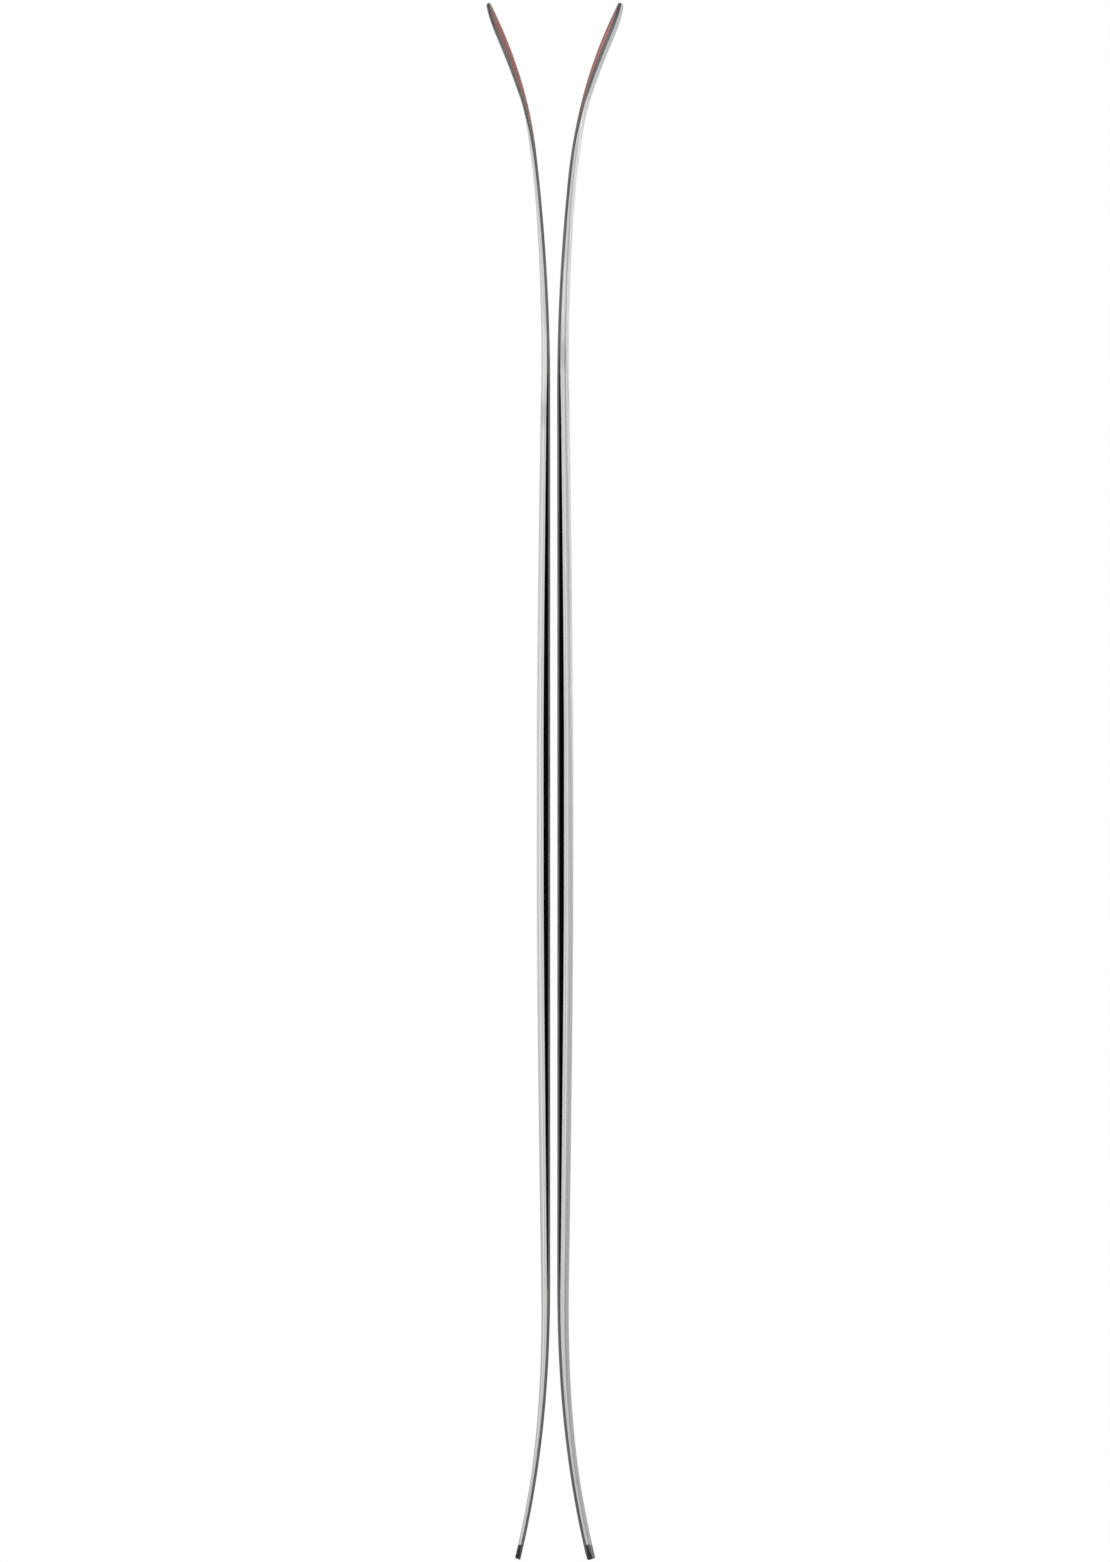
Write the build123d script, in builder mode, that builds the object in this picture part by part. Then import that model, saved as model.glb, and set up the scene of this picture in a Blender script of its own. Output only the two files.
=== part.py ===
"""Pair of touring cross country skis, standing on their tails, base to base.

Each ski is modelled once, in its own frame: its flat base lies in the plane X = 0 and faces -X, the
top sheet is on the +X side, Y runs across the ski, and Z runs from the tail end up to the tip.
The layers of the sandwich are cut from plan outlines by level surfaces. A level surface holds one
height above the base all along the ski, so it follows the rocker, the tapers and the spoon tip, and
neighbouring layers share it. The finished pieces are then placed twice, as the right and left ski.
"""

from build123d import *
import math
import os

os.makedirs("parts", exist_ok=True)

# ---- Plan shape: widths and corners ----
ski_length = 1800.0
tip_width = 98.0
waist_width = 70.0
tail_width = 87.0
tip_width_margin = 50.0  # where the tip width is measured, below the tip
tail_width_height = 45.0
tip_corner_radius = 38.0
tail_corner_radius = 14.0

# ---- Side shape: rocker at both ends, flat in between ----
early_rise_length = 450.0  # long soft rise, measured down from the tip
early_rise_height = 42.8
shovel_kick_length = 170.0  # shorter upturn, added on top of the early rise
shovel_kick_height = 26.5
tail_rise_length = 330.0
tail_rise_height = 34.7
tail_rise_power = 2.3
spoon_depth = 6.5  # how far the middle of the base bulges below the edges at the tip
spoon_start = 200.0  # the spoon grows from here, measured down from the tip
spoon_full = 40.0

# ---- Thickness along the ski ----
waist_thickness = 15.6
platform_crown = 0.15  # pressed slightly proud, then ground flat for the binding
platform_bottom = 800.0
platform_top = 905.0
ground_length = 300.0  # stretch that the grinding passes over
shovel_thickness = 6.2
shovel_taper_margin = 216.0  # the front taper ends this far below the tip
tail_thickness = 6.2
tail_taper_end = 92.0
taper_power = 1.5
taper_blend = 0.6  # softens the corner where a taper meets its thin end
tip_thickness = 3.8
tip_thin_start = 173.0  # the shovel thins to the tip thickness over this stretch
tip_thin_end = 104.0

# ---- Layers ----
base_thickness = 1.4
edge_height = 2.2
edge_width = 2.0
edge_anchor_width = 4.0  # the edge's flange, which lies on top of the base
lower_laminate_thickness = 0.8
upper_laminate_thickness = 0.8
top_sheet_thickness = 1.0
mounting_plate_thickness = 0.8
cap_height = 8.4  # how far the cap comes down the side at the waist
sidewall_taper = 0.7  # share of the ski's loss of thickness that comes off the sidewall
cap_clearance = 0.05
rim_depth = 0.4  # the cap's rim reaches at least this far below the underside of its top
shoulder_share = 0.6  # share of the cap's height that its bevelled shoulder takes
shoulder_width = 8.0
cap_least_wall = 0.6  # part of the cap's side that stays upright where the ski is thin

# ---- How far each layer is set in from the outline ----
laminate_inset = 0.3
sidewall_inset = 0.5
cap_inset = 1.0
core_inset = cap_inset + top_sheet_thickness
sidewall_width = 7.0

# ---- Pieces along and across the ski ----
groove_width = 5.0
groove_depth = 0.6
groove_end_margin = 15.0
core_bottom = 60.0
core_top_margin = 165.0  # the core and the laminates end this far below the tip
sidewall_least_height = 0.5
centre_stringer_width = 24.0
mounting_plate_length = 310.0
mounting_plate_width = 50.0
protector_length = 17.5
protector_end_wall = 4.5
tail_end_slant = 22.0  # the tail's end face leans this far from level

# ---- How the two skis stand ----
base_gap = 8.2
right_ski_turn = 2.6  # degrees about its own length, showing a little of its top

# ---- Level surfaces ----
overhang = 45.0  # the surfaces run past both ends
end_spacing = 12.0  # points along a level's curves, close where the ski bends
middle_spacing = 30.0
reach = 120.0  # half depth of a blank, more than the rise of the tip

platform_centre = (platform_bottom + platform_top) / 2


def clamp(value):
    """Keep a share between 0 and 1."""
    return min(1.0, max(0.0, value))


def smoothstep(share):
    """Ease from 0 to 1."""
    share = clamp(share)
    return share * share * (3 - 2 * share)


def soft_max(a, b, blend):
    """The larger of two lengths, with the corner between them rounded."""
    return (a + b + math.hypot(a - b, blend)) / 2


def soft_min(a, b, blend):
    """The smaller of two lengths, with the corner between them rounded."""
    return (a + b - math.hypot(a - b, blend)) / 2


# ---- Sidecut: a parabola, narrowest at the waist ----
tip_growth = (tip_width - waist_width) / 2
tail_growth = (tail_width - waist_width) / 2
growth_ratio = math.sqrt(tip_growth / tail_growth)
tip_width_height = ski_length - tip_width_margin
waist_height = (tip_width_height + growth_ratio * tail_width_height) / (1 + growth_ratio)
sidecut = tip_growth / (tip_width_height - waist_height) ** 2


def half_width(z):
    """Half the width of the sidecut at one height."""
    return waist_width / 2 + sidecut * (z - waist_height) ** 2


def rise(z):
    """How far the middle of the base curves away from the flat base plane."""
    below_tip = ski_length - z
    early = max(0.0, 1 - below_tip / early_rise_length) ** 2
    kick = max(0.0, 1 - below_tip / shovel_kick_length) ** 2
    tail = max(0.0, 1 - z / tail_rise_length) ** tail_rise_power
    return early_rise_height * early + shovel_kick_height * kick + tail_rise_height * tail


def slope(z):
    """Angle of the base against the vertical, in radians."""
    step = 0.5
    return math.atan2(rise(z + step) - rise(z - step), 2 * step)


def spoon(z, y):
    """How far the base lies above its own middle line, because the tip is spoon shaped."""
    share = smoothstep((z - (ski_length - spoon_start)) / (spoon_start - spoon_full))
    return spoon_depth * share * (y / (tip_width / 2)) ** 2


def thickness(z):
    """Thickness of the whole ski in its middle, square to the base."""
    peak = waist_thickness + platform_crown
    if z > platform_centre:
        share = (z - platform_top) / (ski_length - shovel_taper_margin - platform_top)
        end = shovel_thickness
    else:
        share = (platform_bottom - z) / (platform_bottom - tail_taper_end)
        end = tail_thickness
    body = soft_max(end, peak - (peak - end) * clamp(share) ** taper_power, taper_blend)
    thin = smoothstep((z - (ski_length - tip_thin_start)) / (tip_thin_start - tip_thin_end))
    return body + (tip_thickness - body) * thin


def shoulder(z, y):
    """How far the bevelled shoulder of the cap drops below the middle of the top."""
    least_bottom = edge_height + lower_laminate_thickness + cap_least_wall
    cap = soft_min(cap_height, thickness(z) - least_bottom, taper_blend)
    share = max(0.0, abs(y) - half_width(z) + shoulder_width) / shoulder_width
    return shoulder_share * cap * share**2


# ---- Heights of the layers above the base ----
def cap_bottom_height(z, y):
    """Bottom of the cap's side, which is also the top of the sidewall."""
    laminate_top = edge_height + lower_laminate_thickness + cap_clearance
    sidewall = waist_thickness - cap_height - sidewall_taper * (waist_thickness - thickness(z))
    side = soft_max(laminate_top, sidewall, taper_blend / 2)
    return soft_min(side, thickness(z) - top_sheet_thickness - rim_depth, cap_clearance)


def top_height(z, y):
    return thickness(z) - shoulder(z, y)


def upper_laminate_height(z, y):
    return top_height(z, y) - top_sheet_thickness


def core_height(z, y):
    return upper_laminate_height(z, y) - upper_laminate_thickness


def plate_height(z, y):
    return core_height(z, y) - mounting_plate_thickness


def ski_point(z, y, height):
    """Point at a height above the base, carried by the rocker and the spoon."""
    lift = height + spoon(z, y)
    angle = slope(z)
    return Vector(rise(z) + lift * math.cos(angle), y, z - lift * math.sin(angle))


def evenly(start, end, spacing):
    """Heights from start up to, not including, end, about one spacing apart."""
    count = math.ceil((end - start) / spacing)
    return [start + (end - start) * index / count for index in range(count)]


def level(height_at, shares):
    """Surface that holds the given height above the base, along and across the whole ski.

    It is lofted through long curves, one at each share of the half width.
    """
    early_rise_start = ski_length - early_rise_length
    heights = evenly(-overhang, tail_rise_length, end_spacing)
    heights += evenly(tail_rise_length, early_rise_start, middle_spacing)
    heights += evenly(early_rise_start, ski_length + overhang, end_spacing)
    heights += [ski_length + overhang]
    curves = []
    for share in [-share for share in reversed(shares)] + [0] + shares:
        places = [(z, share * half_width(z)) for z in heights]
        points = [ski_point(z, y, height_at(z, y)) for z, y in places]
        curves.append(Wire([Edge.make_spline(points, parameters=heights)]))
    return Shell.make_loft(curves).face()


plain = [0.4, 0.8, 1.12]  # shares of the half width where a level is measured
shouldered = [0.35, 0.6, 0.75, 0.82, 0.88, 0.94, 1, 1.06, 1.12]
running_level = level(lambda z, y: 0, plain)
base_level = level(lambda z, y: base_thickness, plain)
edge_level = level(lambda z, y: edge_height, plain)
laminate_level = level(lambda z, y: edge_height + lower_laminate_thickness, plain)
cap_bottom_level = level(cap_bottom_height, plain)
plate_level = level(plate_height, shouldered)
core_level = level(core_height, shouldered)
upper_laminate_level = level(upper_laminate_height, shouldered)
top_level = level(top_height, shouldered)


def plan(inset, start=0.0, end=ski_length):
    """Plan outline of a layer, set in from the ski's outline and kept between two heights."""
    top = ski_length - inset
    tail_half = half_width(0) - inset
    tail_slope = -2 * sidecut * waist_height
    with BuildSketch() as outline:
        with BuildLine():
            middle = (tail_half + tail_slope * top / 2, top / 2)
            side = Bezier((tail_half, 0), middle, (half_width(top) - inset, top))
            Line(side @ 1, (0, top))
            Line((0, 0), side @ 0)
            mirror(about=Plane.YZ)
        make_face()
        tip_corners = outline.vertices().group_by(Axis.Y)[-1].sort_by(Axis.X)
        fillet([tip_corners[0], tip_corners[-1]], tip_corner_radius - inset)
        tail_corners = outline.vertices().group_by(Axis.Y)[0].sort_by(Axis.X)
        fillet([tail_corners[0], tail_corners[-1]], tail_corner_radius - inset)
        if start > 0 or end < ski_length:
            with Locations((0, (start + end) / 2)):
                Rectangle(2 * tip_width, end - start, mode=Mode.INTERSECT)
    return outline.sketch


def side_band(outer_inset, inner_inset, start=0.0, end=ski_length):
    """Plan outline of the strip between two insets, on the -Y side of the ski."""
    with BuildSketch() as outline:
        add(plan(outer_inset, start, end))
        add(plan(inner_inset), mode=Mode.SUBTRACT)
        with Locations((-tip_width / 2, ski_length / 2)):
            Rectangle(tip_width, 2 * ski_length, mode=Mode.INTERSECT)
    return outline.sketch


def layer(outline, bottom=None, top=None):
    """A layer of the sandwich: the part of an outline's blank between two level surfaces."""
    with BuildPart() as blank:
        with BuildSketch(Plane.YZ.offset(-reach)):
            add(outline)
        extrude(amount=2 * reach)
        if bottom:
            split(bisect_by=bottom, keep=Keep.ALL)
        if top:
            split(bisect_by=top, keep=Keep.ALL)
    stack = blank.solids().sort_by(Axis.X)
    return stack[1] if bottom and top else stack[-1] if bottom else stack[0]


# ---- Places that several pieces share ----
core_top = ski_length - core_top_margin
anchor_inset = edge_width + edge_anchor_width
core_side_inset = sidewall_inset + sidewall_width
laminate_top_height = edge_height + lower_laminate_thickness
sidewall_loss = waist_thickness - cap_height - laminate_top_height - sidewall_least_height
sidewall_least_thickness = waist_thickness - sidewall_loss / sidewall_taper
sidewalled = [z for z in range(int(ski_length)) if thickness(z) >= sidewall_least_thickness]
sidewall_bottom = float(sidewalled[0])
sidewall_top = float(sidewalled[-1])
slant = math.radians(tail_end_slant)
tail_end = Plane(origin=(rise(0), 0, 0), z_dir=(-math.sin(slant), 0, math.cos(slant)))

# ---- Running base, with its guide groove along the flat part ----
groove_bottom = tail_rise_length + groove_end_margin
groove_top = ski_length - early_rise_length - groove_end_margin
with BuildPart() as base:
    add(layer(plan(edge_width), running_level, base_level))
    with BuildSketch(Plane.YZ.offset(-groove_depth)):
        with Locations((0, (groove_bottom + groove_top) / 2)):
            SlotOverall(groove_top - groove_bottom, groove_width, rotation=90)
    extrude(amount=2 * groove_depth, mode=Mode.SUBTRACT)
    split(bisect_by=tail_end, keep=Keep.TOP)

# ---- Steel edge of one side: the running edge, and its anchor flange on top of the base ----
with BuildPart() as steel_edge:
    add(layer(side_band(0, anchor_inset), running_level, edge_level))
    add(layer(plan(edge_width), top=base_level), mode=Mode.SUBTRACT)
    split(bisect_by=tail_end, keep=Keep.TOP)

# ---- Damping layer, between the anchors ----
with BuildPart() as damping_layer:
    add(layer(plan(anchor_inset, 0, core_top), base_level, edge_level))
    split(bisect_by=tail_end, keep=Keep.TOP)

# ---- Lower laminate ----
with BuildPart() as lower_laminate:
    add(layer(plan(laminate_inset, 0, core_top), edge_level, laminate_level))
    split(bisect_by=tail_end, keep=Keep.TOP)

# ---- Sidewall of one side ----
sidewall_reach = (sidewall_bottom, sidewall_top)
with BuildPart() as sidewall:
    sidewall_band = side_band(sidewall_inset, core_side_inset, *sidewall_reach)
    add(layer(sidewall_band, laminate_level, cap_bottom_level))

# ---- Mounting plate, let into the core under the binding ----
with BuildSketch() as plate_outline:
    with Locations((0, platform_centre)):
        Rectangle(mounting_plate_width, mounting_plate_length)
with BuildPart() as mounting_plate:
    add(layer(plate_outline.sketch, plate_level, core_level))

# ---- Wood core: rebated for the sidewalls and the plate, then parted into stringers ----
with BuildPart() as sidewall_rebate:
    add(layer(side_band(0, core_side_inset, *sidewall_reach), top=cap_bottom_level))
    mirror(about=Plane.XZ)
with BuildPart() as core:
    add(layer(plan(core_inset, core_bottom, core_top), laminate_level, core_level))
    add(sidewall_rebate.part, mode=Mode.SUBTRACT)
    add(layer(plate_outline.sketch, bottom=plate_level), mode=Mode.SUBTRACT)
stringer_seam = Plane.XZ.offset(centre_stringer_width / 2)
with BuildPart() as core_side:
    add(core.part)
    split(bisect_by=stringer_seam, keep=Keep.TOP)
with BuildPart() as core_centre:
    add(core.part)
    split(bisect_by=stringer_seam, keep=Keep.BOTTOM)
    split(bisect_by=Plane.XZ.offset(-centre_stringer_width / 2), keep=Keep.TOP)

# ---- Upper laminate ----
with BuildPart() as upper_laminate:
    add(layer(plan(core_inset, core_bottom, core_top), core_level, upper_laminate_level))

# ---- Top sheet: a cap over the laminate, with its skirts down the sides ----
with BuildPart() as top_sheet:
    add(layer(plan(cap_inset, protector_length), cap_bottom_level, top_level))
    add(layer(plan(core_inset), top=upper_laminate_level), mode=Mode.SUBTRACT)
    with BuildSketch(Plane.YZ.offset(waist_thickness)):
        with Locations((0, platform_centre)):
            Rectangle(waist_width, ground_length)
    extrude(amount=2 * platform_crown, mode=Mode.SUBTRACT)

# ---- Tip spacer, between the base and the top sheet where the core has ended ----
with BuildPart() as anchor_rebate:
    add(layer(side_band(0, anchor_inset, core_bottom), top=edge_level))
    mirror(about=Plane.XZ)
with BuildPart() as tip_spacer:
    add(layer(plan(core_inset, core_top), base_level, upper_laminate_level))
    add(anchor_rebate.part, mode=Mode.SUBTRACT)

# ---- Tail spacer: showing at the sides of the tail end, then narrower inside the cap ----
with BuildSketch() as tail_spacer_outline:
    add(plan(cap_inset, protector_end_wall, protector_length))
    add(plan(core_inset, protector_length, core_bottom))
with BuildPart() as tail_spacer:
    add(layer(tail_spacer_outline.sketch, laminate_level, upper_laminate_level))

# ---- Tail protector: a plate over the tail, with an end wall down to the laminate ----
with BuildPart() as tail_protector:
    add(layer(plan(cap_inset, 0, protector_length), laminate_level, top_level))
    add(
        layer(plan(0, protector_end_wall, core_bottom), top=upper_laminate_level),
        mode=Mode.SUBTRACT,
    )
    split(bisect_by=tail_end, keep=Keep.TOP)


def mirrored(piece):
    """The same piece on the other side of the ski."""
    with BuildPart() as other:
        mirror(piece, about=Plane.XZ)
    return other.part


middle_pieces = {
    "base": base.part,
    "damping_layer": damping_layer.part,
    "lower_laminate": lower_laminate.part,
    "core_centre": core_centre.part,
    "mounting_plate": mounting_plate.part,
    "upper_laminate": upper_laminate.part,
    "top_sheet": top_sheet.part,
    "tip_spacer": tip_spacer.part,
    "tail_spacer": tail_spacer.part,
    "tail_protector": tail_protector.part,
}
side_pieces = {
    "steel_edge": (steel_edge.part, mirrored(steel_edge.part)),
    "sidewall": (sidewall.part, mirrored(sidewall.part)),
    "core": (core_side.part, mirrored(core_side.part)),
}


def place(name, piece, location):
    """Stand one piece in its place in the pair, and write it."""
    with BuildPart() as placed:
        with Locations(location):
            add(piece)
    placed.part.label = name
    export_step(placed.part, f"parts/{name}.step")


# ---- The pair: the left ski is the right one turned half round ----
turned_near_edge = waist_width / 2 * math.sin(math.radians(right_ski_turn))
right_place = Location((base_gap / 2 + turned_near_edge, 0, 0), (0, 0, -right_ski_turn))
left_place = Location((-base_gap / 2, 0, 0), (0, 0, 180))
for ski, location, sides in (
    ("right", right_place, ("front", "back")),
    ("left", left_place, ("back", "front")),
):
    for name, piece in middle_pieces.items():
        place(f"{ski}_{name}", piece, location)
    for name, pair in side_pieces.items():
        for side, piece in zip(sides, pair):
            place(f"{ski}_{name}_{side}", piece, location)
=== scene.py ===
"""Looks of a pair of touring cross country skis, standing on their tails, base to base.

Every visible layer of the sandwich is a closed mesh, built once in a ski's own frame and placed twice.
That frame is the CAD's: the flat base lies in the plane X = 0 and faces -X, Y runs across the ski and
Z along it, up from the tail. Heights are measured square to the base. Sizes are in millimetres.
"""
import math

import bmesh
import bpy
from mathutils import Matrix, Vector


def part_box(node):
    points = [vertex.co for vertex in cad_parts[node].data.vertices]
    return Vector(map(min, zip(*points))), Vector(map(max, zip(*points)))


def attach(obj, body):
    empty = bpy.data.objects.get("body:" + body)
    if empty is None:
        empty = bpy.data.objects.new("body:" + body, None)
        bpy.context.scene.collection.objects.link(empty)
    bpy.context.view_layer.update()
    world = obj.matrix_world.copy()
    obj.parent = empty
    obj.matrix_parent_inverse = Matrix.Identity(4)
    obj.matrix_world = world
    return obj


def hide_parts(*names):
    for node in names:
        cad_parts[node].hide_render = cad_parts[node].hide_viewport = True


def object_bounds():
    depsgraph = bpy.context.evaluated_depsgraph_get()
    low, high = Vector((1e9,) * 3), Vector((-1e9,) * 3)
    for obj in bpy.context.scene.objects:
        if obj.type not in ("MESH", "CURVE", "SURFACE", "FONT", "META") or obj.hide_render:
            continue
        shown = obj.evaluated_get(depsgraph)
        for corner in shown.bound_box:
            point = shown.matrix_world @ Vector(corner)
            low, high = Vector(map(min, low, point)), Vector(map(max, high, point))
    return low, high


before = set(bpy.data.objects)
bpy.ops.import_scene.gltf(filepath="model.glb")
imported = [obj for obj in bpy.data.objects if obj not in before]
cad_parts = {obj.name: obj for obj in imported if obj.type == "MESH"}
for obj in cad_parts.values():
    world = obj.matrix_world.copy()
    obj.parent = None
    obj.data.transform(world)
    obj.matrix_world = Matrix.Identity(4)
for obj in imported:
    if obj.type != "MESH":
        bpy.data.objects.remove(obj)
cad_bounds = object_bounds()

METRE = 1000.0

# ---- Overall size and how the skis stand, from the frame ----
ski_length = METRE * (cad_bounds[1][2] - cad_bounds[0][2])
base_gap_half = -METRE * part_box("left_base")[1].x
right_ski_turn = math.radians(2.6)

# ---- Plan shape ----
tip_width = 98.0
waist_width = 70.0
tail_width = 87.0
tip_width_height = ski_length - 50.0
tail_width_height = 45.0
tip_corner_radius = 38.0
tail_corner_radius = 14.0

# ---- Side shape ----
early_rise_length = 450.0
early_rise_height = 42.8
shovel_kick_length = 170.0
shovel_kick_height = 26.5
tail_rise_length = 330.0
tail_rise_height = 34.7
tail_rise_power = 2.3
spoon_depth = 6.5
spoon_start = 200.0
spoon_full = 40.0
tail_end_slant = math.radians(22.0)

# ---- Thickness along the ski ----
waist_thickness = 15.6
platform_crown = 0.15
platform_bottom = 800.0
platform_top = 905.0
shovel_thickness = 6.2
shovel_taper_end = ski_length - 216.0
tail_thickness = 6.2
tail_taper_end = 92.0
taper_power = 1.5
taper_blend = 0.6
tip_thickness = 3.8
tip_thin_start = 173.0
tip_thin_end = 104.0

# ---- Layers ----
base_thickness = 1.4
edge_height = 2.2
edge_width = 2.0
edge_anchor_width = 4.0
laminate_thickness = 0.8
top_sheet_thickness = 1.0
cap_height = 8.4
sidewall_taper = 0.7
cap_clearance = 0.05
rim_depth = 0.4
shoulder_share = 0.6
shoulder_width = 8.0
cap_least_wall = 0.6
laminate_top = edge_height + laminate_thickness

# ---- How far each layer is set in from the outline ----
laminate_inset = 0.3
sidewall_inset = 0.5
cap_inset = 1.0
core_inset = cap_inset + top_sheet_thickness
sidewall_width = 7.0

# ---- Places along the ski ----
groove_width = 5.0
groove_depth = 0.6
groove_bottom = tail_rise_length + 15.0
groove_top = ski_length - early_rise_length - 15.0
core_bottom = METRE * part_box("right_core_centre")[0].z
core_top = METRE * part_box("right_core_centre")[1].z
sidewall_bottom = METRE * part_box("right_sidewall_front")[0].z
sidewall_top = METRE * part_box("right_sidewall_front")[1].z
protector_end_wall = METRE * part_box("right_tail_spacer")[0].z
protector_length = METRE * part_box("right_tail_protector")[1].z
platform_centre = (platform_bottom + platform_top) / 2

# ---- Fineness of the meshes ----
tail_spacing = 6.0
middle_spacing = 14.0
tip_spacing = 5.0
least_spacing = 0.05
tail_corner_steps = 10
tip_corner_steps = 22


# ---- Heights and curves of a ski ----
def clamp(value):
    return min(1.0, max(0.0, value))


def smoothstep(share):
    share = clamp(share)
    return share * share * (3 - 2 * share)


def soft_max(a, b, blend):
    return (a + b + math.hypot(a - b, blend)) / 2


def soft_min(a, b, blend):
    return (a + b - math.hypot(a - b, blend)) / 2


tip_growth = (tip_width - waist_width) / 2
tail_growth = (tail_width - waist_width) / 2
growth_ratio = math.sqrt(tip_growth / tail_growth)
waist_place = (tip_width_height + growth_ratio * tail_width_height) / (1 + growth_ratio)
sidecut = tip_growth / (tip_width_height - waist_place) ** 2


def half_width(z):
    """Half the width of the sidecut."""
    return waist_width / 2 + sidecut * (z - waist_place) ** 2


def rise(z):
    """How far the middle of the base curves away from the flat base plane."""
    below_tip = ski_length - z
    early = max(0.0, 1 - below_tip / early_rise_length) ** 2
    kick = max(0.0, 1 - below_tip / shovel_kick_length) ** 2
    tail = max(0.0, 1 - z / tail_rise_length) ** tail_rise_power
    return early_rise_height * early + shovel_kick_height * kick + tail_rise_height * tail


def slope(z):
    """Angle of the base against the vertical, over a millimetre of height."""
    return math.atan(rise(z + 0.5) - rise(z - 0.5))


def spoon(z, y):
    """How far the base lies above its own middle line at the spoon shaped tip."""
    share = smoothstep((z - (ski_length - spoon_start)) / (spoon_start - spoon_full))
    return spoon_depth * share * (y / (tip_width / 2)) ** 2


def thickness(z):
    """Thickness of the whole ski in its middle."""
    peak = waist_thickness + platform_crown
    if z > platform_centre:
        share = (z - platform_top) / (shovel_taper_end - platform_top)
        end = shovel_thickness
    else:
        share = (platform_bottom - z) / (platform_bottom - tail_taper_end)
        end = tail_thickness
    body = soft_max(end, peak - (peak - end) * clamp(share) ** taper_power, taper_blend)
    thin = smoothstep((z - (ski_length - tip_thin_start)) / (tip_thin_start - tip_thin_end))
    return min(waist_thickness, body + (tip_thickness - body) * thin)


def level(height):
    """Height function of a plain layer."""
    return lambda z, y: height


def cap_bottom(z, y):
    """Underside of the cap's skirt, which stands on the sidewall, or on the laminate at the ends."""
    sidewall = waist_thickness - cap_height - sidewall_taper * (waist_thickness - thickness(z))
    side = soft_max(laminate_top + cap_clearance, sidewall, taper_blend / 2)
    return soft_min(side, thickness(z) - top_sheet_thickness - rim_depth, cap_clearance)


def cap_top(z, y):
    """Outside of the cap: flat in the middle, curving down at the shoulders."""
    cap = soft_min(cap_height, thickness(z) - laminate_top - cap_least_wall, taper_blend)
    share = max(0.0, abs(y) - half_width(z) + shoulder_width) / shoulder_width
    return thickness(z) - shoulder_share * cap * share**2


def under_cap(z, y):
    return cap_top(z, y) - top_sheet_thickness


def between(low, high, share):
    """Height function part of the way from one level up to another."""
    return lambda z, y: low(z, y) + share * (high(z, y) - low(z, y))


def above(low, amount):
    return lambda z, y: low(z, y) + amount


def distance_from_base(y, z, height):
    """X of the point at a height above the base, carried by the rocker and the spoon.

    It stands square to the base a little further along, and each round comes closer to that place.
    """
    rounds = 6
    along = z
    for _ in range(rounds):
        lift = height(along, y) + spoon(along, y)
        angle = slope(along)
        along = z + lift * math.sin(angle)
    return rise(along) + lift * math.cos(angle)


# ---- Outline: stations from the middle of the tail, round one side, to the middle of the tip ----
def corner(radius, end, direction):
    """Centre of a rounded corner, and its angle where the side runs into it."""
    centre_z = end - direction * radius
    angle = -math.atan(2 * sidecut * (centre_z - waist_place))
    tangent_z = centre_z + radius * math.sin(angle)
    return half_width(tangent_z) - radius * math.cos(angle), centre_z, angle


def across(half):
    """Places across the ski from its middle out to one half width: close together at the groove."""
    groove_shares = [0, 0.3, 0.6, 0.8, 0.92, 1, 1.04]
    inner = [share * groove_width / 2 for share in groove_shares]
    steps = 6
    return inner + [inner[-1] + (half - inner[-1]) * step / steps for step in range(1, steps + 1)]


def flat_station(radius, end, direction, column):
    centre_y = corner(radius, end, direction)[0]
    y = across(centre_y)[column]
    return lambda inset: (y, end - direction * inset)


def corner_station(radius, end, direction, angle):
    centre_y, centre_z, _ = corner(radius, end, direction)
    across_share, along_share = math.cos(angle), math.sin(angle)
    return lambda inset: (
        centre_y + (radius - inset) * across_share,
        centre_z + (radius - inset) * along_share,
    )


def side_station(z):
    return lambda inset: (half_width(z) - inset, z)


def end_stations(radius, end, direction, corner_steps):
    """Stations of one end of the ski, from the middle to where the side starts."""
    columns = len(across(radius)) - 1
    stations = [flat_station(radius, end, direction, column) for column in range(columns)]
    start, stop = direction * math.pi / 2, corner(radius, end, direction)[2]
    for step in range(corner_steps + 1):
        angle = start + (stop - start) * step / corner_steps
        stations.append(corner_station(radius, end, direction, angle))
    return stations, columns


def spaced(start, end, spacing):
    count = math.ceil((end - start) / spacing)
    return [start + (end - start) * index / count for index in range(count)]


def side_heights():
    """Heights of the stations along the side: close where the ski curves and where the groove ends."""
    tail_margin, tip_margin = 1, 2
    tail_start = corner(tail_corner_radius, 0, -1)[1] + tail_margin
    tip_end = corner(tip_corner_radius, ski_length, 1)[1] - tip_margin
    heights = spaced(tail_start, tail_rise_length, tail_spacing)
    heights += spaced(tail_rise_length, ski_length - early_rise_length, middle_spacing)
    heights += spaced(ski_length - early_rise_length, tip_end, tip_spacing)
    round_end = (0, 0.1, 0.4, 0.9, 1.6, 2.5)
    for groove_end, towards in ((groove_bottom, 1), (groove_top, -1)):
        heights += [groove_end + towards * step for step in round_end]
    return sorted(heights)


tail_stations, tail_columns = end_stations(tail_corner_radius, 0, -1, tail_corner_steps)
tip_stations, tip_columns = end_stations(tip_corner_radius, ski_length, 1, tip_corner_steps)


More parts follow.
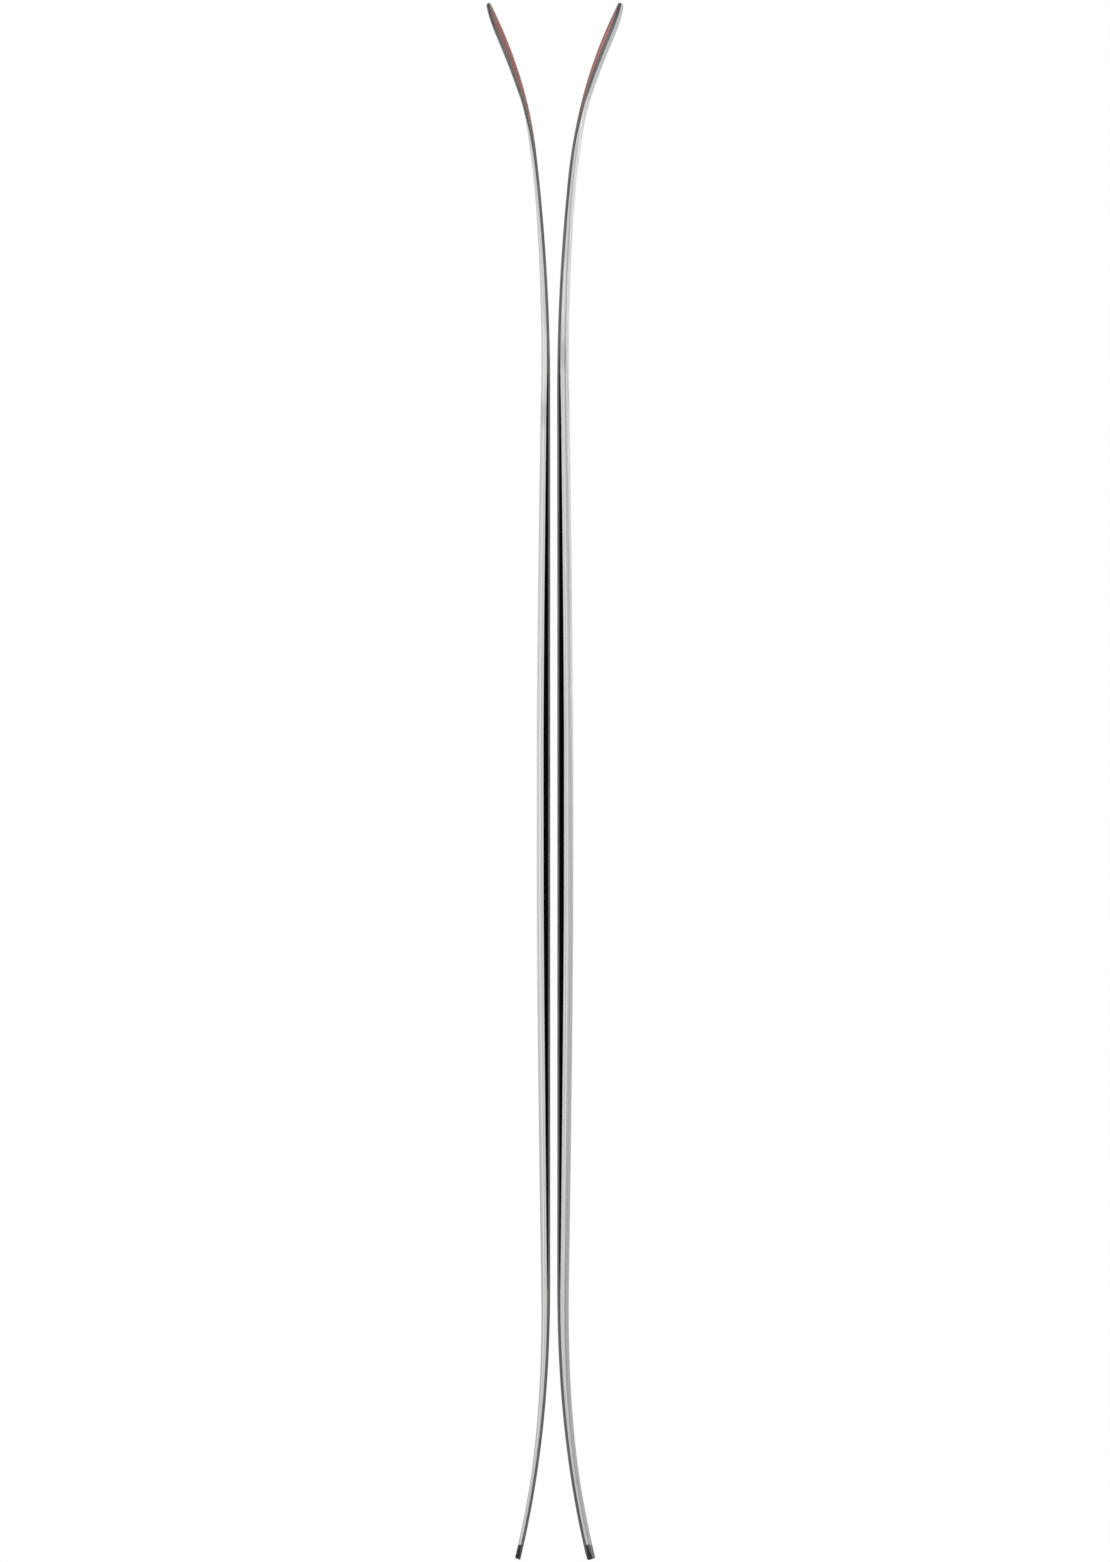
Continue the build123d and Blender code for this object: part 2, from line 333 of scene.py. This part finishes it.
def run(start=None, end=None):
    """Stations between two heights, or right round an end, and which of them have a row across."""
    heights = side_heights()
    if start is None:
        stations, rows = list(tail_stations), len(tail_stations) - tail_columns
    else:
        stations, rows = [side_station(start)], 1
        heights = [z for z in heights if z > start + least_spacing]
    if end is not None:
        heights = [z for z in heights if z < end - least_spacing] + [end]
    stations += [side_station(z) for z in heights]
    if end is None:
        stations += reversed(tip_stations)
    first = tail_columns if start is None else 0
    last = len(stations) - (tip_columns if end is None else 0)
    return stations, first, last


# ---- Mesh of one piece ----
class Shell:
    """A closed mesh in a ski's own frame, whose vertices are shared where faces meet."""

    def __init__(self):
        self.mesh = bmesh.new()
        self.tone = self.mesh.verts.layers.float.new("tone")
        self.seen = {}

    def vertex(self, y, z, height, tone):
        point = (distance_from_base(y, z, height), y, z)
        key = tuple(round(value, 4) for value in point)
        if key not in self.seen:
            self.seen[key] = self.mesh.verts.new(point)
            self.seen[key][self.tone] = tone
        return self.seen[key]

    def face(self, corners):
        corners = list(dict.fromkeys(corners))
        if len(corners) > 2 and not self.mesh.faces.get(corners):
            self.mesh.faces.new(corners)

    def strip(self, first, second):
        for index in range(len(first) - 1):
            self.face([first[index], first[index + 1], second[index + 1], second[index]])

    def row(self, station, inset, height, tone):
        """Vertices straight across the ski at one station."""
        y, z = station(inset)
        half = across(y)
        places = [-place for place in reversed(half)] + half[1:]
        return [self.vertex(place, z, height, tone) for place in places]

    def slab(self, profile, start=None, end=None):
        """A solid whose side, right round the ski, follows a profile of (inset, height, tone)."""
        stations, first, last = run(start, end)
        for side in (1, -1):
            columns = []
            for station in stations:
                places = [(station(inset), height, tone) for inset, height, tone in profile]
                columns.append([self.vertex(side * y, z, h, tone) for (y, z), h, tone in places])
            for one, other in zip(columns, columns[1:]):
                self.strip(one, other)
        for inset, height, tone in (profile[0], profile[-1]):
            rows = [self.row(station, inset, height, tone) for station in stations[first:last]]
            for one, other in zip(rows, rows[1:]):
                self.strip(one, other)
        for station, closed in ((stations[0], start is None), (stations[-1], end is None)):
            if not closed:
                self.cap(station, profile)

    def cap(self, station, profile):
        """Flat end of a slab that stops square across the ski."""
        sides = []
        for side in (1, -1):
            places = [(station(inset), height, tone) for inset, height, tone in profile]
            sides.append([self.vertex(side * y, z, h, tone) for (y, z), h, tone in places])
        bottom, top = [self.row(station, *profile[index]) for index in (0, -1)]
        self.face(bottom + sides[0] + top[::-1] + sides[1][::-1])

    def band(self, section, side, start=None, end=None):
        """A solid of one closed section of (inset, height, tone), carried along one side."""
        stations = run(start, end)[0]
        loops = []
        for station in stations:
            places = [(station(inset), height, tone) for inset, height, tone in section]
            loops.append([self.vertex(side * y, z, h, tone) for (y, z), h, tone in places])
        for one, other in zip(loops, loops[1:]):
            self.strip(one + one[:1], other + other[:1])
        self.face(loops[0])
        self.face(loops[-1])

    def cut_tail(self):
        """Cut the slanted end face of the tail."""
        normal = Vector((-math.sin(tail_end_slant), 0, math.cos(tail_end_slant)))
        cut = bmesh.ops.bisect_plane(
            self.mesh,
            geom=self.mesh.verts[:] + self.mesh.edges[:] + self.mesh.faces[:],
            dist=1e-4,
            plane_co=(rise(0), 0, 0),
            plane_no=normal,
            clear_inner=True,
        )["geom_cut"]
        edges = [item for item in cut if isinstance(item, bmesh.types.BMEdge)]
        bmesh.ops.holes_fill(self.mesh, edges=edges, sides=0)

    def done(self, name, sharp=35.0):
        """Mesh data with its shading, its tone and its place on the ski, still in millimetres."""
        bmesh.ops.recalc_face_normals(self.mesh, faces=self.mesh.faces[:])
        data = bpy.data.meshes.new(name)
        self.mesh.to_mesh(data)
        self.mesh.free()
        data.shade_smooth()
        data.set_sharp_from_angle(angle=math.radians(sharp))
        place = data.attributes.new("place", "FLOAT_VECTOR", "POINT")
        for index, vertex in enumerate(data.vertices):
            x, y, z = vertex.co
            place.data[index].vector = (y / METRE, z / METRE, (x - rise(z)) / METRE)
        return data


# ---- Node materials ----
def srgb(red, green=None, blue=None):
    """Colour from display values of 0 to 255."""
    green = red if green is None else green
    blue = red if blue is None else blue
    channels = [value / 255 for value in (red, green, blue)]
    linear = [c / 12.92 if c <= 0.04045 else ((c + 0.055) / 1.055) ** 2.4 for c in channels]
    return (*linear, 1.0)


class Recipe:
    """A Principled material and short calls that add nodes to it."""

    def __init__(self, name, colour, roughness, specular=0.5, metallic=0.0):
        self.material = bpy.data.materials.new(name)
        self.material.use_nodes = True
        self.tree = self.material.node_tree
        self.shader = self.tree.nodes["Principled BSDF"]
        self.set(Base_Color=colour, Roughness=roughness, Metallic=metallic)
        self.set(Specular_IOR_Level=specular)
        self.material.diffuse_color = colour

    def set(self, **inputs):
        for name, value in inputs.items():
            self.plug(self.shader.inputs[name.replace("_", " ")], value)

    def plug(self, socket, value):
        if isinstance(value, bpy.types.NodeSocket):
            self.tree.links.new(value, socket)
        else:
            socket.default_value = value

    def node(self, kind, inputs, **settings):
        node = self.tree.nodes.new(kind)
        for name, value in settings.items():
            setattr(node, name, value)
        for name, value in inputs.items():
            self.plug(node.inputs[name], value)
        return node

    def place(self):
        """Place on the ski in metres: across, along, height above the base."""
        return self.node("ShaderNodeAttribute", {}, attribute_name="place").outputs["Vector"]

    def tone(self):
        return self.node("ShaderNodeAttribute", {}, attribute_name="tone").outputs["Fac"]

    def world(self):
        return self.node("ShaderNodeTexCoord", {}).outputs["Object"]

    def axis(self, vector, name):
        return self.node("ShaderNodeSeparateXYZ", {"Vector": vector}).outputs[name]

    def scaled(self, vector, scale, turn=(0, 0, 0)):
        inputs = {"Vector": vector, "Scale": scale, "Rotation": turn}
        return self.node("ShaderNodeMapping", inputs).outputs["Vector"]

    def noise(self, vector, scale=1.0, detail=3.0):
        inputs = {"Vector": vector, "Scale": scale, "Detail": detail}
        return self.node("ShaderNodeTexNoise", inputs).outputs["Fac"]

    def cells(self, vector, scale=1.0):
        inputs = {"Vector": vector, "Scale": scale}
        return self.node("ShaderNodeTexVoronoi", inputs).outputs["Distance"]

    def math(self, operation, first, second=0.0):
        return self.node("ShaderNodeMath", {0: first, 1: second}, operation=operation).outputs[0]

    def spread(self, value, low, high, to_low=0.0, to_high=1.0):
        inputs = {"Value": value, "From Min": low, "From Max": high}
        inputs.update({"To Min": to_low, "To Max": to_high})
        return self.node("ShaderNodeMapRange", inputs, interpolation_type="SMOOTHSTEP").outputs[0]

    def window(self, value, low, high, blur):
        """One between two values, nought outside."""
        up = self.spread(value, low - blur, low + blur)
        down = self.spread(value, high - blur, high + blur, 1.0, 0.0)
        return self.math("MULTIPLY", up, down)

    def mix(self, share, first, second):
        node = self.node("ShaderNodeMix", {0: share, 6: first, 7: second}, data_type="RGBA")
        return node.outputs[2]

    def steps(self, value, stops):
        """Colour ramp through (place, colour) stops."""
        ramp = self.node("ShaderNodeValToRGB", {"Fac": value})
        elements = ramp.color_ramp.elements
        while len(elements) < len(stops):
            elements.new(0.5)
        for element, (place, colour) in zip(elements, stops):
            element.position = place
            element.color = colour
        return ramp.outputs["Color"]

    def bump(self, height, distance, strength, normal=None):
        """Bump with its depth in millimetres, laid over another one where that is given."""
        inputs = {"Height": height, "Distance": distance / METRE, "Strength": strength}
        if normal is not None:
            inputs["Normal"] = normal
        return self.node("ShaderNodeBump", inputs).outputs["Normal"]


def top_sheet_material():
    """Pale satin nylon cap: a painted highlight along the ridge, painted light and shade up the side,
    greyer shoulders and two soft slanted bands.

    The tone is 0 to 1 up the side, 1 on the ridge, and 1.1 to 2.1 from there in over the top.
    The top is paler towards the tip, partly as a painted highlight, and the side round the tip has
    painted shade, a darker grey. Over the sidewall the lowest lip of the side is black.
    """
    recipe = Recipe("top_sheet_nylon", srgb(205), 0.42, specular=0.35)
    recipe.set(IOR=1.03)
    place, tone = recipe.place(), recipe.tone()
    along, sideways = recipe.axis(place, "Y"), recipe.axis(place, "X")
    streak = recipe.noise(recipe.scaled(place, (260, 6, 260)), detail=4)
    cloud = recipe.noise(recipe.scaled(place, (9, 2.2, 9)), detail=2)
    tone_of_ramp_end = 3.0
    # Painted light up the side: a pale band, a grey band, then a painted highlight along the ridge; the
    # shoulders and top keep a plain grey.
    colour = recipe.steps(
        recipe.math("DIVIDE", tone, tone_of_ramp_end),
        [
            (0.0, srgb(206)),
            (0.14, srgb(226)),
            (0.2, srgb(196)),
            (0.26, srgb(200)),
            (0.3, srgb(244)),
            (0.345, srgb(244)),
            (0.4, srgb(201)),
            (0.62, srgb(205)),
            (1.0, srgb(212)),
        ],
    )
    # The top has its own pale colour, paler still towards the tip, where it is partly a painted
    # highlight.
    top = recipe.math("MULTIPLY", recipe.spread(tone, 1.05, 1.3), recipe.spread(along, 0.25, 0.8))
    top_colour = recipe.mix(recipe.spread(along, 1.5, 1.66), srgb(228), srgb(252))
    colour = recipe.mix(top, colour, top_colour)
    slant = 0.9
    slanted = recipe.math("ADD", along, recipe.math("MULTIPLY", sideways, slant))
    pale_band = recipe.window(slanted, 1.392, 1.462, 0.012)
    grey_band = recipe.window(slanted, 1.345, 1.372, 0.008)
    for band, strength, shade in ((pale_band, 0.55, 240), (grey_band, 0.45, 176)):
        colour = recipe.mix(recipe.math("MULTIPLY", band, strength), colour, srgb(shade))
    # Painted shade: the cap's side round the tip is painted a darker grey.
    tip_painted_shade = recipe.math("LESS_THAN", tone, 0.95)
    tip_painted_shade = recipe.math("MULTIPLY", tip_painted_shade, recipe.spread(along, 1.685, 1.7))
    colour = recipe.mix(tip_painted_shade, colour, srgb(145))
    colour = recipe.mix(recipe.spread(cloud, 0.35, 0.75, 0.0, 0.14), colour, srgb(188, 189, 192))
    colour = recipe.mix(recipe.spread(streak, 0.55, 0.75, 0.0, 0.12), colour, srgb(176, 176, 178))
    lip_height = recipe.spread(along, 1.31, 1.4, 0.15, 0.0)
    lip_height = recipe.math("MULTIPLY", recipe.spread(along, 0.4, 0.95), lip_height)
    colour = recipe.mix(recipe.math("LESS_THAN", tone, lip_height), colour, srgb(3))
    recipe.set(Base_Color=colour)
    recipe.set(Roughness=recipe.spread(cloud, 0.2, 0.8, 0.34, 0.5))
    peel = recipe.noise(place, scale=1500, detail=2)
    recipe.set(Normal=recipe.bump(peel, 0.02, 0.5, recipe.bump(streak, 0.02, 0.5)))
    return recipe.material


def base_material():
    """Dusty red sintered base, stone ground: fine lines run along it, paler where it is worn."""
    recipe = Recipe("base_polyethylene", srgb(200, 147, 143), 0.6)
    recipe.set(IOR=1.01)
    place = recipe.place()
    lines = recipe.noise(recipe.scaled(place, (700, 5, 700)), detail=2)
    crossed = recipe.noise(recipe.scaled(place, (700, 60, 700), (0, 0, 0.4)), detail=2)
    cloud = recipe.noise(recipe.scaled(place, (40, 9, 40)), detail=4)
    low, high = srgb(191, 138, 134), srgb(210, 157, 153)
    colour = recipe.mix(recipe.spread(cloud, 0.3, 0.7), low, high)
    colour = recipe.mix(recipe.spread(lines, 0.5, 0.7, 0.0, 0.25), colour, srgb(220, 176, 172))
    recipe.set(Base_Color=colour)
    recipe.set(Roughness=recipe.spread(lines, 0.3, 0.7, 0.42, 0.62))
    recipe.set(Normal=recipe.bump(lines, 0.003, 0.4, recipe.bump(crossed, 0.002, 0.3)))
    return recipe.material


def edge_material():
    """Dark ground steel: fine brighter grinding marks along the edge and a few browner specks."""
    recipe = Recipe("edge_steel", srgb(98, 99, 98), 0.5, metallic=0.4)
    recipe.set(IOR=1.1, Specular_Tint=(0.4, 0.4, 0.4, 1.0))
    place = recipe.place()
    marks = recipe.noise(recipe.scaled(place, (1800, 60, 1800)), detail=4)
    cloud = recipe.noise(recipe.scaled(place, (60, 14, 60)), detail=3)
    colour = recipe.mix(recipe.spread(cloud, 0.3, 0.7), srgb(90, 91, 90), srgb(105, 106, 105))
    colour = recipe.mix(recipe.spread(marks, 0.55, 0.75, 0.0, 0.4), colour, srgb(118, 119, 118))
    specks = recipe.cells(recipe.scaled(place, (160, 55, 160)))
    colour = recipe.mix(recipe.spread(specks, 0.04, 0.12, 0.35, 0.0), colour, srgb(98, 84, 74))
    recipe.set(Base_Color=colour)
    recipe.set(Roughness=recipe.spread(marks, 0.3, 0.7, 0.42, 0.6))
    recipe.set(Normal=recipe.bump(marks, 0.01, 0.6))
    return recipe.material


def sidewall_material():
    """Black sidewall with faint milling marks."""
    recipe = Recipe("sidewall_abs", srgb(4), 0.6, specular=0.01)
    place = recipe.place()
    marks = recipe.noise(recipe.scaled(place, (500, 25, 500)), detail=3)
    recipe.set(Base_Color=recipe.mix(recipe.spread(marks, 0.4, 0.7), srgb(2), srgb(6)))
    recipe.set(Roughness=recipe.spread(marks, 0.3, 0.7, 0.5, 0.7))
    recipe.set(Normal=recipe.bump(marks, 0.02, 0.6))
    return recipe.material


def laminate_material(name, low, high, dark_from=None, dark_to=None):
    """Glass fibre laminate: fine threads along and across the ski, and a black tint along a stretch."""
    recipe = Recipe(name, srgb(low), 0.45, specular=0.1)
    place = recipe.world()
    threads = recipe.noise(recipe.scaled(place, (1500, 1500, 90)), detail=2)
    weft = recipe.noise(recipe.scaled(place, (200, 200, 1600)), detail=2)
    weave = recipe.math("MULTIPLY", threads, weft)
    colour = recipe.mix(recipe.spread(weave, 0.15, 0.4), srgb(low), srgb(high))
    if dark_from is not None:
        along = recipe.axis(recipe.place(), "Y")
        dark = recipe.window(along, dark_from, dark_to, 0.02)
        colour = recipe.mix(dark, colour, srgb(5))
    recipe.set(Base_Color=colour)
    recipe.set(Roughness=recipe.spread(weave, 0.1, 0.4, 0.36, 0.56))
    recipe.set(Normal=recipe.bump(weave, 0.02, 0.6))
    return recipe.material


def moulded_material(name, low, high, grain, depth):
    """Moulded plastic with a leathery grain."""
    recipe = Recipe(name, srgb(low), 0.6, specular=0.08)
    place = recipe.world()
    cells = recipe.cells(place, grain)
    speckle = recipe.noise(place, grain * 0.6, detail=3)
    recipe.set(Base_Color=recipe.mix(recipe.spread(speckle, 0.35, 0.65), srgb(low), srgb(high)))
    recipe.set(Roughness=recipe.spread(cells, 0.0, 0.6, 0.72, 0.5))
    recipe.set(Normal=recipe.bump(cells, depth, 0.8, recipe.bump(speckle, depth / 2, 0.5)))
    return recipe.material


def wood_material(name, pale, dark, turn):
    """Straight grained core wood: growth rings stretched along the ski, with short pores."""
    recipe = Recipe(name, pale, 0.6, specular=0.2)
    place = recipe.scaled(recipe.world(), (1, 1, 1), (0, 0, turn))
    waver = recipe.noise(recipe.scaled(place, (14, 14, 1.2)), detail=3)
    rings = recipe.math("SINE", recipe.math("MULTIPLY", waver, 90.0))
    pores = recipe.noise(recipe.scaled(place, (2600, 2600, 70)), detail=3)
    colour = recipe.mix(recipe.spread(rings, -1.0, 1.0, 0.0, 0.75), pale, dark)
    colour = recipe.mix(recipe.spread(pores, 0.6, 0.8, 0.0, 0.5), colour, dark)
    recipe.set(Base_Color=colour)
    recipe.set(Roughness=recipe.spread(pores, 0.3, 0.8, 0.5, 0.7))
    recipe.set(Normal=recipe.bump(pores, 0.03, 0.6))
    return recipe.material


def brushed_material(name, low, high):
    """Rolled sheet metal, brushed across."""
    recipe = Recipe(name, srgb(low), 0.35, metallic=1.0)
    brushing = recipe.noise(recipe.scaled(recipe.world(), (60, 60, 2200)), detail=3)
    recipe.set(Base_Color=recipe.mix(recipe.spread(brushing, 0.3, 0.7), srgb(low), srgb(high)))
    recipe.set(Roughness=recipe.spread(brushing, 0.3, 0.7, 0.28, 0.45))
    recipe.set(Normal=recipe.bump(brushing, 0.01, 0.5))
    return recipe.material


dark_stretch = (0.33, 1.395)
finishes = {
    "top_sheet": top_sheet_material(),
    "base": base_material(),
    "steel_edge": edge_material(),
    "sidewall": sidewall_material(),
    "lower_laminate": laminate_material("lower_laminate_glass", 88, 102, *dark_stretch),
    "upper_laminate": laminate_material("upper_laminate_glass", 150, 176),
    "damping_layer": moulded_material("damping_rubber", 40, 52, 900, 0.03),
    "tail_protector": moulded_material("protector_plastic", 64, 88, 1100, 0.12),
    "tail_spacer": moulded_material("tail_spacer_plastic", 26, 36, 1200, 0.03),
    "tip_spacer": moulded_material("tip_spacer_plastic", 60, 72, 1200, 0.03),
    "core_centre": wood_material("ash_core", srgb(214, 190, 152), srgb(178, 146, 104), 0.3),
    "core": wood_material("paulownia_core", srgb(222, 204, 172), srgb(196, 170, 132), 1.1),
    "mounting_plate": brushed_material("mounting_plate_alloy", 168, 190),
}


# ---- Pieces, each built once in a ski's own frame ----
def groove_level(z, y):
    """The running surface, with the flat bottomed guide groove sunk into it."""
    wall_share = 0.35
    past_end = max(groove_bottom + groove_width / 2 - z, z - groove_top + groove_width / 2, 0)
    off_line = math.hypot(past_end, y) / (groove_width / 2)
    return groove_depth * smoothstep((1 - off_line) / wall_share)


def build_base():
    """Running base with its groove, and a small bevel along the steel edges."""
    lip = 0.12
    profile = [
        (edge_width + lip, groove_level, 0),
        (edge_width, level(lip), 0),
        (edge_width, level(base_thickness), 0),
        (edge_width + 1, level(base_thickness), 0),
    ]
    shell = Shell()
    shell.slab(profile)
    shell.cut_tail()
    return shell.done("base")


def build_steel_edge(side):
    """Running edge with a ground bevel, and its anchor flange on top of the base."""
    bevel = 0.25
    anchor = edge_width + edge_anchor_width
    section = [
        (bevel, level(0), 1),
        (0, level(bevel), 1),
        (0, level(edge_height - bevel), 0),
        (bevel, level(edge_height), 0),
        (anchor, level(edge_height), 0),
        (anchor, level(base_thickness), 0),
        (edge_width, level(base_thickness), 0),
        (edge_width, level(0.02), 0),
        (edge_width - 0.1, level(0), 0),
    ]
    shell = Shell()
    shell.band(section, side)
    shell.cut_tail()
    return shell.done("steel_edge", sharp=25)


def build_lower_laminate():
    shell = Shell()
    profile = [
        (laminate_inset, level(edge_height), 0),
        (laminate_inset, level(laminate_top), 0),
    ]
    shell.slab(profile, end=core_top)
    shell.cut_tail()
    return shell.done("lower_laminate")


def build_sidewall(side):
    """Sidewall strip with a small scraped bevel under the cap."""
    bevel = 0.2
    inner = sidewall_inset + sidewall_width
    section = [
        (sidewall_inset, level(laminate_top), 0),
        (sidewall_inset, above(cap_bottom, -bevel), 0),
        (sidewall_inset + bevel, cap_bottom, 0),
        (inner, cap_bottom, 0),
        (inner, level(laminate_top), 0),
    ]
    shell = Shell()
    shell.band(section, side, sidewall_bottom, sidewall_top)
    return shell.done("sidewall", sharp=25)


def cap_profile():
    """Section of the cap: under its top, down its skirt, and back up over ridge and shoulder."""
    profile = [
        (core_inset + 3, under_cap, 0),
        (core_inset, under_cap, 0),
        (core_inset, cap_bottom, 0),
        (cap_inset + 0.15, cap_bottom, 0),
    ]
    side_shares = [0.06, 0.2, 0.4, 0.5, 0.6, 0.75, 0.88, 0.95]
    profile += [(cap_inset, between(cap_bottom, cap_top, share), share) for share in side_shares]
    ridge_width = 0.4
    ridge = [(0.05, -0.12), (0.18, -0.03), (ridge_width, 0.0)]
    profile += [(cap_inset + inset, above(cap_top, drop), 1) for inset, drop in ridge]
    start, end = cap_inset + ridge_width, shoulder_width + 1
    steps = 10
    for step in range(1, steps + 1):
        inset = start + (end - start) * step / steps
        profile.append((inset, cap_top, 1.1 + step / steps))
    return profile


def build_top_sheet():
    shell = Shell()
    shell.slab(cap_profile(), start=protector_length)
    return shell.done("top_sheet", sharp=50)


def build_tip_spacer():
    shell = Shell()
    anchor = edge_width + edge_anchor_width
    profile = [
        (anchor, level(base_thickness), 0),
        (anchor, level(edge_height), 0),
        (core_inset, level(edge_height), 0),
        (core_inset, under_cap, 0),
    ]
    shell.slab(profile, start=core_top)
    return shell.done("tip_spacer")


def build_tail_spacer():
    shell = Shell()
    profile = [(cap_inset, level(laminate_top), 0), (cap_inset, under_cap, 0)]
    shell.slab(profile, start=protector_end_wall, end=protector_length)
    return shell.done("tail_spacer")


def build_tail_protector():
    """Plate over the tail, and its end wall, which reaches a little way up into the plate."""
    shell = Shell()
    bevel = 0.3
    profile = [
        (cap_inset, under_cap, 0),
        (cap_inset, above(cap_top, -bevel), 0),
        (cap_inset + bevel, cap_top, 0),
        (cap_inset + 2, cap_top, 0),
    ]
    shell.slab(profile, end=protector_length)
    wall_inset, overlap = cap_inset + 0.02, 0.05
    wall = [(wall_inset, level(laminate_top), 0), (wall_inset, above(under_cap, overlap), 0)]
    shell.slab(wall, end=protector_end_wall)
    shell.cut_tail()
    return shell.done("tail_protector", sharp=25)


# ---- Placing the pieces ----
right_offset = (base_gap_half + waist_width / 2 * math.sin(right_ski_turn)) / METRE
placements = {
    "right": Matrix.Translation((right_offset, 0, 0)) @ Matrix.Rotation(-right_ski_turn, 4, "Z"),
    "left": Matrix.Translation((-base_gap_half / METRE, 0, 0)) @ Matrix.Rotation(math.pi, 4, "Z"),
}


def place(data, name, ski, nodes):
    """Stand a copy of one piece in its place, with its finish, for the CAD nodes it replaces."""
    mesh = data.copy()
    mesh.transform(placements[ski] @ Matrix.Scale(1 / METRE, 4))
    mesh.materials.clear()
    mesh.materials.append(finishes[name])
    piece = bpy.data.objects.new(f"{ski}_{nodes[0].split('_', 1)[1]}_skin", mesh)
    mesh.name = piece.name
    bpy.context.scene.collection.objects.link(piece)
    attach(piece, "root")
    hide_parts(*nodes)
    return piece


middle_pieces = {
    "base": build_base,
    "lower_laminate": build_lower_laminate,
    "top_sheet": build_top_sheet,
    "tip_spacer": build_tip_spacer,
    "tail_spacer": build_tail_spacer,
    "tail_protector": build_tail_protector,
}
for name, build in middle_pieces.items():
    data = build()
    for ski in placements:
        place(data, name, ski, [f"{ski}_{name}"])

for name, build in (("steel_edge", build_steel_edge), ("sidewall", build_sidewall)):
    for side in (1, -1):
        data = build(side)
        place(data, name, "right", [f"right_{name}_{'back' if side > 0 else 'front'}"])
        place(data, name, "left", [f"left_{name}_{'front' if side > 0 else 'back'}"])

# ---- Inner pieces, carried over from the CAD, with finishes of their own ----
inner_pieces = ("damping_layer", "upper_laminate", "core_centre", "core", "mounting_plate")
for ski in placements:
    for name in inner_pieces:
        nodes = [f"{ski}_core_front", f"{ski}_core_back"] if name == "core" else [f"{ski}_{name}"]
        for node in nodes:
            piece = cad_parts[node]
            for material_slot in piece.material_slots:
                material_slot.material = finishes[name]


# ---- Stage: a pale floor, soft lamps and a white surround ----
def build_floor():
    shell = bmesh.new()
    bmesh.ops.create_circle(shell, cap_ends=True, radius=9.0, segments=96)
    data = bpy.data.meshes.new("floor")
    shell.to_mesh(data)
    shell.free()
    floor = bpy.data.objects.new("floor", data)
    bpy.context.scene.collection.objects.link(floor)
    recipe = Recipe("floor_paper", srgb(240), 0.9, specular=0.1)
    cloud = recipe.noise(recipe.world(), 1.5, detail=2)
    recipe.set(Base_Color=recipe.mix(recipe.spread(cloud, 0.3, 0.7), srgb(238), srgb(242)))
    recipe.set(Emission_Color=(1, 1, 1, 1))
    recipe.set(Emission_Strength=recipe.math("MULTIPLY", seen_directly(recipe.tree), 0.32))
    data.materials.append(recipe.material)


def seen_directly(tree):
    """One for rays from the camera, in reflections and through glass, nought for light on a surface."""
    path = tree.nodes.new("ShaderNodeLightPath")
    seen = path.outputs["Is Camera Ray"]
    for other in ("Is Glossy Ray", "Is Transmission Ray"):
        either = tree.nodes.new("ShaderNodeMath")
        either.operation = "MAXIMUM"
        tree.links.new(seen, either.inputs[0])
        tree.links.new(path.outputs[other], either.inputs[1])
        seen = either.outputs[0]
    return seen


def build_surround():
    """Even light all round, seen as white by the camera and in reflections."""
    world = bpy.data.worlds.new("surround")
    bpy.context.scene.world = world
    world.use_nodes = True
    nodes, links = world.node_tree.nodes, world.node_tree.links
    light = nodes["Background"]
    light.inputs["Color"].default_value = (1, 1, 1, 1)
    light.inputs["Strength"].default_value = 0.4
    white = nodes.new("ShaderNodeBackground")
    white.inputs["Color"].default_value = (1, 1, 1, 1)
    white.inputs["Strength"].default_value = 1.0
    mix = nodes.new("ShaderNodeMixShader")
    links.new(seen_directly(world.node_tree), mix.inputs[0])
    links.new(light.outputs[0], mix.inputs[1])
    links.new(white.outputs[0], mix.inputs[2])
    links.new(mix.outputs[0], nodes["World Output"].inputs["Surface"])


def add_lamp(name, place, target, size, power):
    """Large square lamp that looks at a point."""
    data = bpy.data.lights.new(name, "AREA")
    data.shape = "SQUARE"
    data.size = size
    data.energy = power
    lamp = bpy.data.objects.new(name, data)
    lamp.location = place
    lamp.rotation_euler = (Vector(target) - Vector(place)).to_track_quat("-Z", "Y").to_euler()
    bpy.context.scene.collection.objects.link(lamp)


ski_middle = (0, 0, ski_length / METRE / 2)
lamp_size = 2.6
build_floor()
build_surround()
add_lamp("front_lamp", (-1.4, -4.6, 2.2), ski_middle, lamp_size, 112)
add_lamp("back_lamp", (1.4, 4.6, 2.2), ski_middle, lamp_size, 98)

# ---- Camera: level, looking along +Y, far enough away to see the skis without perspective ----
view_height = 1.8057
view_centre = Vector((0.0014, 0, 0.9005))
camera_distance = 4
camera_data = bpy.data.cameras.new("camera")
camera_data.type = "ORTHO"
camera_data.ortho_scale = view_height
camera = bpy.data.objects.new("camera", camera_data)
camera.location = view_centre + Vector((0, -camera_distance, 0))
camera.rotation_euler = (math.pi / 2, 0, 0)
bpy.context.scene.collection.objects.link(camera)
bpy.context.scene.camera = camera
bpy.context.scene.view_settings.view_transform = "Standard"
